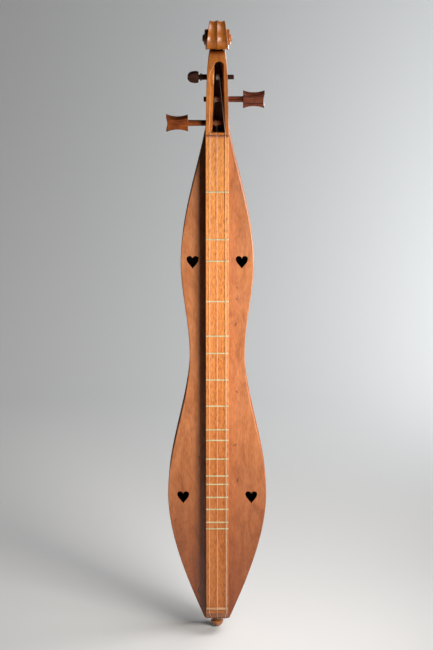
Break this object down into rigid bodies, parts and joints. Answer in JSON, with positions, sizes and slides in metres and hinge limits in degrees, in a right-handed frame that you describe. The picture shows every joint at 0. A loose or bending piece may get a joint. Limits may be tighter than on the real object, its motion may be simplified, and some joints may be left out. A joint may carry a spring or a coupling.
{
  "type": "mountain dulcimer",
  "caption": "Long hourglass fretted zither with heart sound holes, a raised fretboard, three strings, a carved scroll and turning friction pegs.",
  "frame": {"origin": "centre line of the back's outer face, level with the bridge", "axes": "+Z from the tail to the scroll, +Y out of the back, +X to the right when facing the strings"},
  "size_m": [0.1428, 0.0622, 0.896],
  "materials": {
    "walnut_body": "satin varnish",
    "walnut_head": "satin varnish",
    "fretboard_wood": "satin varnish, worn",
    "inner_wood": "bare wood",
    "dark_wood": "polished",
    "pale_wood": "bare, polished by use",
    "turned_wood": "satin varnish",
    "peg_dark": "polished",
    "peg_rosewood": "oiled",
    "peg_brown": "oiled",
    "brass_wire": "worn brass",
    "plain_string": "plain steel wire",
    "wound_string": "wound wire"
  },
  "bodies": {
    "root": {"back_plate": "walnut_body", "soundboard_left": "walnut_body", "soundboard_right": "walnut_body", "rib_left": "walnut_body", "rib_right": "walnut_body", "tail_block": "inner_wood", "head": "walnut_head", "fretboard": "fretboard_wood", "nut": "dark_wood", "bridge": "pale_wood", "end_button": "turned_wood", "lining_front_left": "inner_wood", "lining_front_right": "inner_wood", "lining_back_left": "inner_wood", "lining_back_right": "inner_wood", "back_brace_lower": "inner_wood", "back_brace_waist": "inner_wood", "back_brace_upper": "inner_wood", "top_brace_lower": "inner_wood", "top_brace_upper": "inner_wood", "string_bass": "wound_string", "string_middle": "plain_string", "string_melody": "plain_string", "fret_01": "brass_wire", "fret_02": "brass_wire", "fret_03": "brass_wire", "fret_04": "brass_wire", "fret_05": "brass_wire", "fret_06": "brass_wire", "fret_07": "brass_wire", "fret_08": "brass_wire", "fret_09": "brass_wire", "fret_10": "brass_wire", "fret_11": "brass_wire", "fret_12": "brass_wire", "fret_13": "brass_wire", "fret_14": "brass_wire", "fret_15": "brass_wire", "fret_16": "brass_wire", "fret_17": "brass_wire"},
    "peg_upper": {"tuning_peg_upper": "peg_dark", "winding_bass": "wound_string"},
    "peg_middle": {"tuning_peg_middle": "peg_rosewood", "winding_melody": "plain_string"},
    "peg_lower": {"tuning_peg_lower": "peg_brown", "winding_middle": "plain_string"}
  },
  "joints": [
    {"name": "peg_upper_turn", "type": "hinge", "parent": "root", "child": "peg_upper", "pos_m": [0, -0.044, 0.7766], "axis": [1, 0, 0], "continuous": true},
    {"name": "peg_middle_turn", "type": "hinge", "parent": "root", "child": "peg_middle", "pos_m": [0, -0.044, 0.7459], "axis": [1, 0, 0], "continuous": true},
    {"name": "peg_lower_turn", "type": "hinge", "parent": "root", "child": "peg_lower", "pos_m": [0, -0.044, 0.7129], "axis": [1, 0, 0], "continuous": true}
  ]
}
